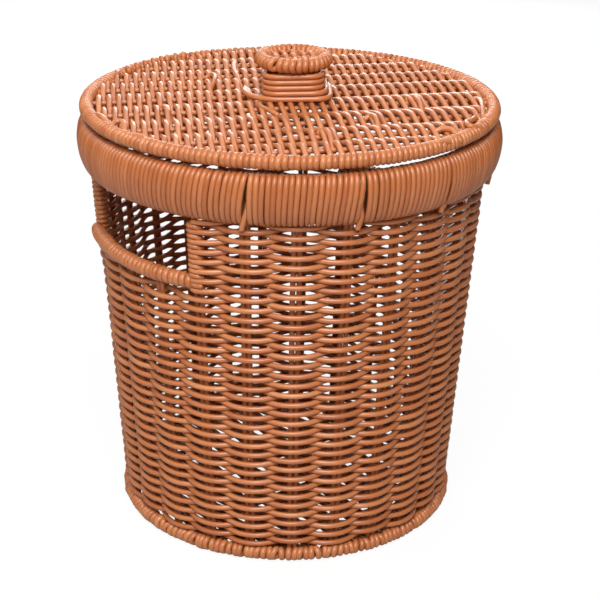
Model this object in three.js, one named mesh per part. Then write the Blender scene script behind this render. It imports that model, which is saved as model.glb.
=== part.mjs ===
import * as THREE from 'three';
import { mergeVertices } from 'three/addons/utils/BufferGeometryUtils.js';

// A round laundry hamper woven from plastic cane over steel hoops, with a loose woven lid.
// Millimetres, +Z up. The origin is the middle of the ring that the hamper stands on.
// Angles run from the front, which is -Y, towards the right, which is +X.
// The skilled feature is the weave: every strand runs over and under real stakes and ribs.

// Cane, wire and the room between neighbours
const clearance = 0.3;
const caneHeight = 4.4;        // one strand of cane, across the rows
const caneDepth = 3.2;         // the same strand, through the wall
const rowPitch = 4.8;
const wireDiameter = 4;

// Wall
const stakeCount = 25;
const stakeWidth = 11;         // a stake is a pair of upright canes, modelled as one oval
const stakeFlat = 6;           // the middle of the oval, before its edges thin out
const stakeDepth = 2.6;
const footRadius = 156.2;      // middle of the wall where it leaves the base ring
const mouthRadius = 179.2;     // middle of the wall where it enters the rim band
const wallTop = 342.5;         // underside of the rim band
const wallStrands = 4;         // lengths of cane that make up the spiral wall

// Base
const baseRingThickness = 14;
const baseRingOverhang = 3;    // how far its middle lies outside the wall's middle
const baseRibs = 4;
const baseRibPitch = 66;
const baseStrandWidth = 14.5;  // three canes laid side by side
const baseStrandPitch = 15.5;

// Rim band
const bandHeight = 51.2;
const bandBulge = 11.3;        // how far the band swells out from its core
const bandCoreOffset = 6.3;    // from the wall's middle at the upper hoop to the band's core
const bandWidestHeight = 30;   // where the band is widest, from its underside

// Hand openings, one on each side
const frontColumns = 9;
const openingColumns = 4;
const openingDrop = 56;        // from the rim band to the top of the handle bar
const handleThickness = 14.5;

// Lid
const lidRingThickness = 14;
const lidRingOffset = 1.3;     // from the core of the band to the middle of the lid ring
const lidTurn = 31;            // direction of the lid's strands, from the back towards the right
const lidRibs = 7;
const lidRibPitch = 48;
const ribWidth = 9;
const ribFlat = 5;
const turnRun = 8;             // from the last rib that a strand crosses to its turn
const lidStrandPitch = 4.85;

// Knob
const knobRadius = 37;
const knobRingThickness = 14.5;
const knobOffset = 3;          // from the lid's middle, across its strands
const knobTurn = 7;            // from the lid's strands to the sides of the knob's coil
const coilRows = 5;            // loops stacked above one another, on the coil's front
const coilCane = 4.6;
const coilPitch = 5.2;
const coilHalfWidth = 27.2;    // middle of the cane, on the sides of its rounded square
const coilCornerRadius = 12;
const coilSpread = 8;          // how much farther out the lowest loop lies on the right
const coilEndRadius = 32;      // bend of the coil's loose end, on the left
const coilEndPlace = 14;       // where that bend meets the front, left of the middle
const uprightDiameter = 4.6;
const uprightSpacing = 25;     // between the two uprights behind one side of the coil

// How finely round things are faceted
const ringSegments = 2 * stakeCount;
const cornerSteps = 3;
const endSteps = 4;
const coilSides = 6;
const knobSegments = 18;
const wireSides = 4;
const ringSides = 8;

// Sizes that follow
const stakeStep = (2 * Math.PI) / stakeCount;
const lean = Math.atan((mouthRadius - footRadius) / (wallTop - baseRingThickness));
const leanRise = (stakeDepth / 2) * Math.sin(lean);
const firstRowHeight = baseRingThickness + clearance + caneHeight / 2;
const lastRowHeight = wallTop - clearance - caneHeight / 2;
const bandTop = wallTop + bandHeight;
const lowerHoopHeight = wallTop + caneDepth + clearance + wireDiameter / 2;
const upperHoopHeight = bandTop - caneDepth - clearance - wireDiameter / 2;
const bandCore = wallRadius(upperHoopHeight) + bandCoreOffset;
const handleHeight = wallTop - openingDrop - handleThickness / 2;
const handleUnderside = handleHeight - handleThickness / 2;
const lidHeight = bandTop + clearance + lidRingThickness / 2;
const lidRingRadius = bandCore + lidRingOffset;
const baseRingRadius = footRadius + baseRingOverhang;

// Stakes that border the hand openings, counted from the front
const rightFrontEdge = (frontColumns - 1) / 2;
const rightBackEdge = rightFrontEdge + openingColumns;
const leftFrontEdge = stakeCount - 1 - rightFrontEdge;
const leftBackEdge = leftFrontEdge - openingColumns;

const degrees = Math.PI / 180;
const cane = { color: 0xc27548, roughness: 0.42, metalness: 0 };
const steel = { color: 0x8c8c8a, roughness: 0.35, metalness: 1 };

// Radius of the wall's middle at a height
function wallRadius(height) {
  const share = (height - baseRingThickness) / (wallTop - baseRingThickness);
  return footRadius + (mouthRadius - footRadius) * share;
}

// Angle of a stake, the first one just right of the front
function stakeAngle(index) {
  return (index + 0.5) * stakeStep;
}

// A point at an angle, radius and height
function polar(angle, radius, height) {
  return new THREE.Vector3(radius * Math.sin(angle), -radius * Math.cos(angle), height);
}

// Turns a mesh's faces outward if its volume comes out negative
function facingOut(geometry) {
  const place = geometry.getAttribute('position');
  const index = geometry.getIndex();
  const [a, b, c] = [new THREE.Vector3(), new THREE.Vector3(), new THREE.Vector3()];
  let volume = 0;
  for (let i = 0; i < index.count; i += 3) {
    a.fromBufferAttribute(place, index.getX(i));
    b.fromBufferAttribute(place, index.getX(i + 1));
    c.fromBufferAttribute(place, index.getX(i + 2));
    volume += a.dot(b.cross(c));
  }
  if (volume < 0) {
    for (let i = 0; i < index.count; i += 3) {
      const first = index.getX(i);
      index.setX(i, index.getX(i + 2));
      index.setX(i + 2, first);
    }
  }
  return geometry;
}

// Keeps only positions, with shared corners merged
function merged(geometry) {
  geometry.deleteAttribute('normal');
  geometry.deleteAttribute('uv');
  return mergeVertices(geometry, 1e-4);
}

// Carries a section of [side, up] pairs along a path, mitred at every point of it
function strand(path, section) {
  const positions = [];
  const faces = [];
  const sides = section.length;
  path.forEach((point, i) => {
    const before = path[Math.max(i - 1, 0)];
    const after = path[Math.min(i + 1, path.length - 1)];
    const incoming = new THREE.Vector2(point.x - before.x, point.y - before.y).normalize();
    const outgoing = new THREE.Vector2(after.x - point.x, after.y - point.y).normalize();
    const along = incoming.clone().add(outgoing).normalize();
    const leg = i === 0 ? outgoing : incoming;
    const mitre = 1 / along.dot(leg);
    for (const [side, up] of section) {
      const offset = side * mitre;
      positions.push(point.x + along.y * offset, point.y - along.x * offset, point.z + up);
    }
  });
  for (let ring = 0; ring < path.length - 1; ring++) {
    for (let side = 0; side < sides; side++) {
      const a = ring * sides + side;
      const b = ring * sides + ((side + 1) % sides);
      faces.push(a, b, b + sides, a, b + sides, a + sides);
    }
  }
  const last = (path.length - 1) * sides;
  for (let side = 1; side < sides - 1; side++) {
    faces.push(0, side + 1, side, last, last + side, last + side + 1);
  }
  const geometry = new THREE.BufferGeometry();
  geometry.setAttribute('position', new THREE.Float32BufferAttribute(positions, 3));
  geometry.setIndex(faces);
  return facingOut(geometry);
}

// A regular section whose flats, at the top, bottom and sides, lie at the given radius
function roundSection(sides, radius) {
  const corner = radius / Math.cos(Math.PI / sides);
  const section = [];
  for (let i = 0; i < sides; i++) {
    const angle = ((i + 0.5) * 2 * Math.PI) / sides;
    section.push([corner * Math.cos(angle), corner * Math.sin(angle)]);
  }
  return section;
}

// Revolves a closed profile of [radius, height] pairs round the hamper's axis
function ring(profile, segments = ringSegments) {
  const outline = profile.map(([radius, height]) => new THREE.Vector2(radius, height));
  outline.push(outline[0].clone());
  const geometry = new THREE.LatheGeometry(outline, segments, stakeStep / 2);
  geometry.rotateX(Math.PI / 2);
  return facingOut(merged(geometry));
}

// A hoop of round section with a flat on top and underneath
function hoop(radius, height, thickness, sides = ringSides, segments = ringSegments) {
  const section = roundSection(sides, thickness / 2);
  return ring(section.map(([side, up]) => [radius + side, height + up]), segments);
}

// A flat oval bar along +Z, its width along X
function ovalBar(width, flat, depth, length) {
  const outline = new THREE.Shape();
  outline.moveTo(-width / 2, 0);
  outline.lineTo(-flat / 2, -depth / 2);
  outline.lineTo(flat / 2, -depth / 2);
  outline.lineTo(width / 2, 0);
  outline.lineTo(flat / 2, depth / 2);
  outline.lineTo(-flat / 2, depth / 2);
  outline.closePath();
  return merged(new THREE.ExtrudeGeometry(outline, { depth: length, bevelEnabled: false }));
}

// How far a strand's middle swings to clear a bar that it crosses, at one spacing of bars
function swing(barDepth, barFlat, spacing, bend = 0) {
  const straight = barDepth / 2 + caneDepth / 2 + clearance + (barFlat / 2) * Math.tan(bend);
  return straight / (1 - barFlat / spacing);
}

const narrowestSpacing = 2 * footRadius * Math.sin(stakeStep / 2);
const outSwing = swing(stakeDepth, stakeFlat, narrowestSpacing, stakeStep / 2);
const inSwing = swing(stakeDepth, stakeFlat, narrowestSpacing);

// A point of a wall strand where it passes a stake, outside it or inside it
function crossing(index, height, outside) {
  const radius = wallRadius(height) + (outside ? outSwing : -inSwing);
  return polar(stakeAngle(index), radius, height);
}

const hamper = new THREE.Group();

function add(parent, name, geometry, finish = cane) {
  const mesh = new THREE.Mesh(geometry, new THREE.MeshStandardMaterial(finish));
  mesh.name = name;
  parent.add(mesh);
  return mesh;
}

// Stakes
function isShort(index) {
  const right = index > rightFrontEdge && index < rightBackEdge;
  const left = index > leftBackEdge && index < leftFrontEdge;
  return right || left;
}

function addStake(index) {
  const foot = baseRingThickness + clearance + leanRise;
  const underBar = handleUnderside - clearance - leanRise;
  const inBand = bandTop - caneDepth - wireDiameter / 2 - clearance;
  const length = ((isShort(index) ? underBar : inBand) - foot) / Math.cos(lean);
  const name = `stake_${String(index + 1).padStart(2, '0')}`;
  const stake = add(hamper, name, ovalBar(stakeWidth, stakeFlat, stakeDepth, length));
  stake.rotation.order = 'ZYX';
  stake.rotation.set(lean, 0, stakeAngle(index));
  stake.position.copy(polar(stakeAngle(index), wallRadius(foot), foot));
}

for (let index = 0; index < stakeCount; index++) addStake(index);

// Wall strands: one spiral below the handle bars, cut into a few lengths
const ridge = [
  [-caneDepth / 2, -caneHeight / 2],
  [-caneDepth / 2, caneHeight / 2],
  [caneDepth / 2, 0],
];
const spiralTop = handleUnderside - clearance - caneHeight / 2;
const spiralEndStake = Math.floor((leftBackEdge + leftFrontEdge) / 2);
const spiralCrossings = Math.floor(((spiralTop - firstRowHeight) / rowPitch) * stakeCount);

function spiralPoint(step) {
  const index = step - spiralCrossings + spiralEndStake;
  const height = firstRowHeight + (rowPitch * step) / stakeCount;
  return crossing(index, height, step % 2 === 0);
}

for (let length = 0; length < wallStrands; length++) {
  const first = Math.round((spiralCrossings * length) / wallStrands);
  const last = Math.round((spiralCrossings * (length + 1)) / wallStrands);
  const path = [];
  for (let step = first; step <= last; step++) path.push(spiralPoint(step));
  if (length > 0) path[0].lerp(path[1], (caneDepth / 2) / path[0].distanceTo(path[1]));
  add(hamper, `wall_strand_${length + 1}`, strand(path, ridge));
}

// Panel strands: between the hand openings one strand runs to and fro, turning round the end stakes
const tent = [
  [-caneDepth / 2, -caneHeight / 2],
  [caneDepth / 2, -caneHeight / 2],
  [0, caneHeight / 2],
];
const turnReach = stakeWidth / 2 + clearance + caneDepth / 2;

function spiralStepBelow(index) {
  const turned = ((spiralEndStake - index) % stakeCount + stakeCount) % stakeCount;
  return spiralCrossings - turned;
}

function panelStrand(firstStake, lastStake) {
  const lowest = (index) => firstRowHeight + (rowPitch * spiralStepBelow(index)) / stakeCount + rowPitch;
  const room = lastRowHeight - Math.max(lowest(firstStake), lowest(lastStake));
  const rows = Math.floor(room / (caneHeight + clearance / 2)) + 1;
  const path = [];
  for (let row = 0; row < rows; row++) {
    const forward = row % 2 === 0;
    const height = (index) => THREE.MathUtils.lerp(lowest(index), lastRowHeight, row / (rows - 1));
    const isOut = (index) => (spiralStepBelow(index) + row) % 2 !== 0;
    const start = forward ? firstStake : lastStake;
    const end = forward ? lastStake : firstStake;
    const way = forward ? 1 : -1;
    const corner = (index, direction) => {
      const point = crossing(index, height(index), isOut(index));
      const tangent = polar(stakeAngle(index) + Math.PI / 2, direction * turnReach, 0);
      return point.add(tangent);
    };
    if (row > 0) path.push(corner(start, -way));
    for (let index = start; index !== end + way; index += way) {
      path.push(crossing(index, height(index), isOut(index)));
    }
    if (row < rows - 1) path.push(corner(end, way));
  }
  return strand(path, tent);
}

add(hamper, 'back_panel_strand', panelStrand(rightBackEdge, leftBackEdge));
add(hamper, 'front_panel_strand', panelStrand(leftFrontEdge, rightFrontEdge + stakeCount));

// Handle bars: a wound bar under each hand opening, between the panels' woven edges
function addHandle(name, firstStake, lastStake) {
  const radius = wallRadius(handleHeight);
  const inset = (turnReach + caneDepth / 2 + 3 * clearance) / radius;
  const from = stakeAngle(firstStake) + inset;
  const to = stakeAngle(lastStake) - inset;
  const steps = 2 * openingColumns;
  const path = [];
  for (let i = 0; i <= steps; i++) {
    path.push(polar(from + ((to - from) * i) / steps, radius, handleHeight));
  }
  add(hamper, name, strand(path, roundSection(ringSides, handleThickness / 2)));
}

addHandle('right_handle_bar', rightFrontEdge, rightBackEdge);
addHandle('left_handle_bar', leftBackEdge, leftFrontEdge);

// Rim band: two steel hoops outside the stakes, and the hollow winding that goes round them
const hoopBend = (stakeFlat / 2) * Math.tan(stakeStep / 2);
const hoopGap = stakeDepth / 2 + clearance + hoopBend + wireDiameter / 2;

function addHoop(name, height) {
  const geometry = hoop(wallRadius(height) + hoopGap, height, wireDiameter, wireSides, stakeCount);
  add(hamper, name, geometry, steel);
}

addHoop('rim_lower_hoop', lowerHoopHeight);
addHoop('rim_upper_hoop', upperHoopHeight);

// One face of the band's swell, from its underside to its top, a given depth under its outside
function swell(depth, fromTurn, toTurn, steps) {
  const points = [];
  for (let i = 0; i <= steps; i++) {
    const turn = (fromTurn + ((toTurn - fromTurn) * i) / steps) * degrees;
    const rise = turn > 0 ? bandHeight - bandWidestHeight : bandWidestHeight;
    points.push([
      bandCore + (bandBulge - depth) * Math.cos(turn),
      wallTop + bandWidestHeight + (rise - depth) * Math.sin(turn),
    ]);
  }
  return points;
}

function bandProfile() {
  const slotInside = mouthRadius - stakeDepth / 2 - clearance;
  const slotOutside = wallRadius(wallTop + caneDepth) + stakeDepth / 2 + 2 * clearance;
  const leanOut = wallRadius(bandTop) - mouthRadius;
  const cavityTop = bandTop - caneDepth;
  return [
    ...swell(0, -90, 90, 4),
    [slotInside - caneDepth + leanOut + caneDepth / 2, bandTop],
    [slotInside - caneDepth + leanOut, bandTop - caneDepth],
    [slotInside - caneDepth, wallTop],
    [slotInside, wallTop],
    [slotInside + leanOut, cavityTop],
    ...swell(caneDepth, 90, -90, 3),
    [slotOutside, wallTop + caneDepth],
    [slotOutside, wallTop],
  ];
}

add(hamper, 'rim_winding', ring(bandProfile()));

// A round panel inside a wound hoop: flat ribs, and one strand that runs to and fro across them
function halfChord(radius, offset) {
  return Math.sqrt(Math.max(radius * radius - offset * offset, 0));
}

function wovenDisc(options) {
  const { radius, ribs, spacing, width, pitch } = options;
  const room = radius * Math.cos(Math.PI / ringSegments) - clearance;
  const rise = swing(stakeDepth, ribFlat, 2 * turnRun);
  const ribPlaces = [];
  for (let i = 0; i < ribs; i++) ribPlaces.push((i - (ribs - 1) / 2) * spacing);
  const ribLength = (place) => 2 * halfChord(room, Math.abs(place) + ribWidth / 2);

  const passes = Math.floor((2 * (room - width)) / pitch);
  const passPlace = (pass) => (pass - (passes - 1) / 2) * pitch;
  const reach = (pass) => {
    const offset = Math.max(Math.abs(passPlace(pass)), Math.abs(passPlace(pass + 1))) + width / 2;
    let length = halfChord(room, offset) - width / 2;
    for (const place of ribPlaces) {
      const near = place - ribWidth / 2 - clearance - width / 2;
      const past = place + turnRun + width / 2;
      if (length > near && length < past) length = near;
    }
    return Math.max(length, width);
  };

  const path = [];
  for (let pass = 0; pass < passes; pass++) {
    const way = pass % 2 === 0 ? 1 : -1;
    const startReach = reach(pass > 0 ? pass - 1 : pass);
    const endReach = reach(pass < passes - 1 ? pass : pass - 1);
    path.push(new THREE.Vector3(passPlace(pass), -way * startReach, 0));
    const crossed = ribPlaces.filter((place) => place * way > -startReach && place * way < endReach);
    if (way < 0) crossed.reverse();
    for (const place of crossed) {
      const over = (ribPlaces.indexOf(place) + pass) % 2 === 0;
      path.push(new THREE.Vector3(passPlace(pass), place, over ? rise : -rise));
    }
    path.push(new THREE.Vector3(passPlace(pass), way * endReach, 0));
  }
  const section = [[-width / 2, -caneDepth / 2], [width / 2, -caneDepth / 2], [0, caneDepth / 2]];
  return { weave: strand(path, section), ribPlaces, ribLength, rise };
}

function addDisc(parent, prefix, options) {
  const disc = wovenDisc(options);
  disc.ribPlaces.forEach((place, i) => {
    const length = disc.ribLength(place);
    const rib = ovalBar(ribWidth, ribFlat, stakeDepth, length);
    rib.translate(0, 0, -length / 2);
    rib.rotateX(Math.PI / 2);
    rib.rotateZ(Math.PI / 2);
    rib.translate(0, place, 0);
    add(parent, `${prefix}_rib_${i + 1}`, rib);
  });
  add(parent, `${prefix}_strand`, disc.weave);
  return disc;
}

// Base
add(hamper, 'base_ring', hoop(baseRingRadius, baseRingThickness / 2, baseRingThickness));
const base = new THREE.Group();
base.position.z = baseRingThickness / 2;
hamper.add(base);
addDisc(base, 'base', {
  radius: baseRingRadius - baseRingThickness / 2,
  ribs: baseRibs,
  spacing: baseRibPitch,
  width: baseStrandWidth,
  pitch: baseStrandPitch,
});

// Lid
const lid = new THREE.Group();
lid.position.z = lidHeight;
lid.rotation.z = -lidTurn * degrees;
hamper.add(lid);
add(hamper, 'lid_ring', hoop(lidRingRadius, lidHeight, lidRingThickness));
const lidDisc = addDisc(lid, 'lid', {
  radius: lidRingRadius - lidRingThickness / 2,
  ribs: lidRibs,
  spacing: lidRibPitch,
  width: caneHeight,
  pitch: lidStrandPitch,
});

// Knob: a coil of cane on the lid carries a wound ring with a small woven top
const lidTop = lidDisc.rise + caneDepth / 2;
const coilFoot = lidTop + clearance + coilCane / 2;

const knob = new THREE.Group();
knob.position.x = knobOffset;
knob.rotation.z = -knobTurn * degrees;
lid.add(knob);

// The coil's path: from its loose end on the left along the front, then round the corners of a
// square, rising all the way. On the right its lowest loops lie farther out.
function coilPath() {
  const path = [];
  for (let step = 0; step < endSteps; step++) {
    const angle = (Math.PI / 2) * (step / endSteps - 1);
    const bend = polar(angle, coilEndRadius, coilFoot);
    path.push(bend.add(new THREE.Vector3(-coilEndPlace, coilEndRadius - coilHalfWidth, 0)));
  }
  path.push(new THREE.Vector3(-coilEndPlace, -coilHalfWidth, coilFoot));
  const straight = 2 * (coilHalfWidth - coilCornerRadius);
  const arc = (Math.PI / 2) * coilCornerRadius;
  for (let corner = 0; corner <= 4 * (coilRows - 1); corner++) {
    const onRight = corner % 4 < 2;
    const atFront = corner % 4 === 0 || corner % 4 === 3;
    for (let step = 0; step <= cornerSteps; step++) {
      const turned = step / cornerSteps;
      const loops = (corner + (straight + arc * turned) / (straight + arc)) / 4;
      const middle = coilHalfWidth - coilCornerRadius;
      const spread = coilSpread * Math.max(1 - loops / 2, 0);
      const angle = ((corner + turned) * Math.PI) / 2;
      const point = polar(angle, coilCornerRadius, coilFoot + coilPitch * loops);
      point.x += onRight ? middle + spread : -middle;
      point.y += atFront ? -middle : middle;
      path.push(point);
    }
  }
  return path;
}

const coil = coilPath();
add(knob, 'knob_coil', strand(coil, roundSection(coilSides, coilCane / 2)));

// The least gap of the coil to itself, from points at least half a loop apart
function leastSelfGap(path, diameter) {
  const halfLoop = 2 * (cornerSteps + 1);
  let least = Infinity;
  path.forEach((point, i) => {
    for (let j = i + halfLoop; j < path.length; j++) {
      least = Math.min(least, point.distanceTo(path[j]) - diameter);
    }
  });
  return least;
}

console.log(`knob_coil least gap to itself ${leastSelfGap(coil, coilCane).toFixed(2)} mm`);

const knobRingMiddle = knobRadius - knobRingThickness / 2;
const coilTop = coil[coil.length - 1].z + coilCane / 2;
const knobHeight = coilTop + clearance + knobRingThickness / 2;
const knobSection = roundSection(ringSides, knobRingThickness / 2);
const knobProfile = knobSection.map(([side, up]) => new THREE.Vector2(knobRingMiddle + side, up));
knobProfile.push(knobProfile[0].clone());
const knobRing = new THREE.LatheGeometry(knobProfile, knobSegments);
knobRing.rotateX(Math.PI / 2);
add(knob, 'knob_ring', facingOut(merged(knobRing))).position.z = knobHeight;

const knobTop = new THREE.Group();
knobTop.position.z = knobHeight;
knob.add(knobTop);
addDisc(knobTop, 'knob', {
  radius: (knobRingMiddle - knobRingThickness / 2) * Math.cos(Math.PI / knobSegments),
  ribs: 1,
  spacing: 2 * turnRun,
  width: caneHeight,
  pitch: lidStrandPitch,
});

// Uprights inside the coil carry the ring: two behind the front and two behind the back.
// They stand on the lid's strands, which slope down on both sides of the lid's middle rib.
const uprightInset = (coilCane + uprightDiameter) / 2 + clearance;
const uprightPlace = coilHalfWidth - uprightInset;
const fromRib = uprightPlace * Math.cos(knobTurn * degrees)
  - (uprightSpacing / 2) * Math.sin(knobTurn * degrees) - uprightDiameter / 2;
const strandTop = lidDisc.rise * (1 - (2 * fromRib) / lidRibPitch) + caneDepth / 2;
const uprightFoot = strandTop + clearance;
const uprightLength = coilTop - uprightFoot;
for (let i = 0; i < 4; i++) {
  const post = new THREE.CylinderGeometry(uprightDiameter / 2, uprightDiameter / 2, uprightLength, 6);
  post.rotateX(Math.PI / 2);
  const upright = add(knob, `knob_upright_${i + 1}`, merged(post));
  const x = (i % 2 === 0 ? -1 : 1) * uprightSpacing / 2;
  const y = (i < 2 ? -1 : 1) * uprightPlace;
  upright.position.set(x, y, uprightFoot + uprightLength / 2);
}

export default hamper;
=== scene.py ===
"""The looks of a woven laundry hamper: every cane a round strand of its own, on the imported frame.

Metres, +Z up. Angles run from the front, which is -Y, towards the right, which is +X.
"""

import math

import bpy
import numpy as np
from mathutils import Matrix, Vector


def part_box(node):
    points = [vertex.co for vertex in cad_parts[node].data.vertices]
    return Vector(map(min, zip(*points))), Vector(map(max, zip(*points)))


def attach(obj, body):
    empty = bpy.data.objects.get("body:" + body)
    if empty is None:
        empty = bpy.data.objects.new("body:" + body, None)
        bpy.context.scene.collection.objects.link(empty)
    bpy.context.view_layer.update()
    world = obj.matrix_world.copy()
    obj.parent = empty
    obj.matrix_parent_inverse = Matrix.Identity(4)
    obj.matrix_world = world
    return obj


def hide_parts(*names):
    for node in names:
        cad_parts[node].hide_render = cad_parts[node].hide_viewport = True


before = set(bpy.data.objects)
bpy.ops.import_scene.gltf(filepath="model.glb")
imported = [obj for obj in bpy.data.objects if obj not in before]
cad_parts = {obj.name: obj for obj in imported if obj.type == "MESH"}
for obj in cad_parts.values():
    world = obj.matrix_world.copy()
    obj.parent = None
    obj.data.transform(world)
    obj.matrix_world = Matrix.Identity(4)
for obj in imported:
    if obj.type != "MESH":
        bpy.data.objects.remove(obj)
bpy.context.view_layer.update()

MM = 0.001
UP = np.array([0.0, 0.0, 1.0])

# Wall, with the same stakes as the construction
STAKES = 25
STAKE_STEP = 2 * math.pi / STAKES
FOOT_RADIUS = 156.2 * MM
MOUTH_RADIUS = 179.2 * MM
BASE_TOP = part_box("base_ring")[1].z
WALL_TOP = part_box("rim_winding")[0].z
BAR_HEIGHT = (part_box("left_handle_bar")[0].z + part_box("left_handle_bar")[1].z) / 2
ROW_PITCH = 4.866 * MM
FIRST_ROW = BASE_TOP - 1.0 * MM
LAST_ROW = WALL_TOP - 2.5 * MM
SPIRAL_CROSSINGS = 1317        # stakes that the whole spiral passes
SPIRAL_END_STAKE = 18
WALL_LENGTHS = 4
LENGTH_GAP = 0.04              # between two lengths, counted in stakes
FRONT_PANEL = (20, 29)         # first and last stake
FRONT_ROWS = 16
BACK_PANEL = (8, 16)
BACK_ROWS = 15
RIGHT_OPENING = (4, 8)
LEFT_OPENING = (16, 20)
POINTS_PER_STAKE = 9
TURN_POINTS = 27

# Cane of the wall
CANE = 5.0 * MM
SWING = 5.0 * MM               # how far a strand swings out of the wall's middle
FLAT_CREST = 0.18              # how much the crests of a weave are flattened
SAG_FRONT = 0.55 * MM          # how much lower a strand lies outside a stake than inside one
SAG_BACK = -1.3 * MM
WAVE = 0.35 * MM               # height of a gentle wave of the whole wall
SPIRAL_WANDER = 0.12 * MM
PANEL_WANDER_OUT = 0.15 * MM
PANEL_WANDER_UP = 0.2 * MM
TURN_WANDER = 0.25 * MM
SETTLE_ROWS = 6                # rows above the base ring in which the wave grows
SETTLE_START = 0.2
BULGE_OUT = 3.6 * MM
BULGE_ANGLE = 0.17             # radians
BULGE_HEIGHT = 26 * MM

# Stakes
STAKE_CANE_WIDTH = 5.0 * MM
STAKE_CANE_DEPTH = 3.8 * MM
STAKE_PAIR = 5.0 * MM          # between the two canes of a stake
STAKE_WANDER = 0.25 * MM
STAKE_WANDER_SPAN = 45 * MM
STAKE_FOOT = 2 * MM            # below the base ring's top
STAKE_DROP = 8 * MM            # from the top of the solid to the top of the canes
SHORT_STAKE_RISE = 1.5 * MM    # the same under a hand opening, upwards

# Beside the hand openings
EDGE_OUT = 3.0 * MM            # how far out the turns lie
EDGE_SWING = 0.84              # their swing as a share of a row's
EDGE_SPAN = 0.7                # stakes over which a row moves out
EDGE_PAIR = 1.2 * MM           # between the two canes of an end stake
EDGE_STAKE_OUT = 0.7           # how far out an end stake lies, as a share of EDGE_OUT
EDGE_START = 4 * MM            # where that begins, below the handle bar's middle
EDGE_RISE = 12 * MM

# Rim band
TIES = (0, 2, 4, 8, 10, 12, 15, 21.1, 23.18)   # counted in stakes
TIE_GAP = 2.2 * MM
TIE_ROUTE = ((-1.0, -14.5, 20), (-1.2, -10.0, 13), (-2.4, -8.0, 7), (-4.0, -8.8, 1))
TIE_END = (2, 5)               # shortest and longest cut end, in millimetres
WRAP_PITCH = 5.15 * MM
WRAP_WIDTH = 5.25 * MM
WRAP_DEPTH = 4.8 * MM
WRAP_ERROR = 0.16 * MM
WRAP_SWELL = 0.006             # how much a turn's size differs, as a share
BAND_POINTS = 44               # of one turn
LEAN_FIRST, LEAN_GROWTH, LEAN_ERROR = 1.0, 4.6, 0.3    # of a group's turns, in millimetres
BAND_SECTION = (
    (-18.2, 40.2), (-14.8, 44.0), (-8.6, 46.0), (-3.9, 44.3), (-1.3, 39.2), (0, 30.6),
    (-0.6, 22.0), (-2.5, 13.4), (-6.2, 6.0), (-12.0, 2.7), (-18.5, 2.5), (-21.3, 5.2),
    (-20.9, 15.0), (-19.6, 29.0))
HOOP_WIRE = 4 * MM
HOOP_INSET = 2.2 * MM          # from the outside of the hoop's solid to the wire's middle

# Handle bars
BAR_INSET = 1.0 * MM           # from an end stake's middle to the first turn
BAR_OUT = 4.0 * MM
BAR_PITCH = 6.3 * MM
BAR_CANE_WIDTH = 6.3 * MM
BAR_CANE_DEPTH = 4.4 * MM
BAR_LEAN = 1.4 * MM
BAR_ERROR = 0.2 * MM
BAR_TIE_GAP = 1.4 * MM
BAR_END_CANE = 4.6 * MM
BAR_TILT, BAR_DROP = 2.6, 0.6  # rise along the bar and its start, in millimetres
BAR_END = ((-8, 6.0, 2), (0, 6.5, 1), (7.5, 7.5, 0))   # cut end: along, out and up
ROD = 8 * MM
ROD_INSET = 0.03               # radians

# Wound rings
RING_ERROR = 0.2 * MM
RING_LEAN_ERROR = 0.5 * MM
RING_SWELL = 0.03
RING_CANE_WIDTH, RING_CANE_DEPTH = 1.06, 0.92   # as shares of the cane's thickness
RING_OVERLAP = 2 * MM          # how far a woven panel reaches into its ring

# Passes of a round woven panel
PASS_STEP = 4.5 * MM           # from point to point
PASS_WANDER, PASS_WANDER_SPAN = 0.25 * MM, 60 * MM      # sideways
PASS_WAVER, PASS_WAVER_SPAN = 0.2 * MM, 30 * MM         # up and down
PASS_SETTLE = 10 * MM          # stretch at each end over which the swing grows
PASS_END_SWING = 0.25          # its share there
PASS_POINTED = 0.95            # how close the swing comes to a zigzag, which is 1
PASS_LEAST_REACH = 6 * MM
ROLL_POINTS = 4                # over which a strand rolls onto its side beside the hoop
HOOP_TURN = math.radians(300)
HOOP_TURN_SHORTER = 0.4 * MM   # its radius against half the ring's thickness
HOOP_TURN_STRETCH = 1.8        # at most, where a pass meets the ring at a slant

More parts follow.
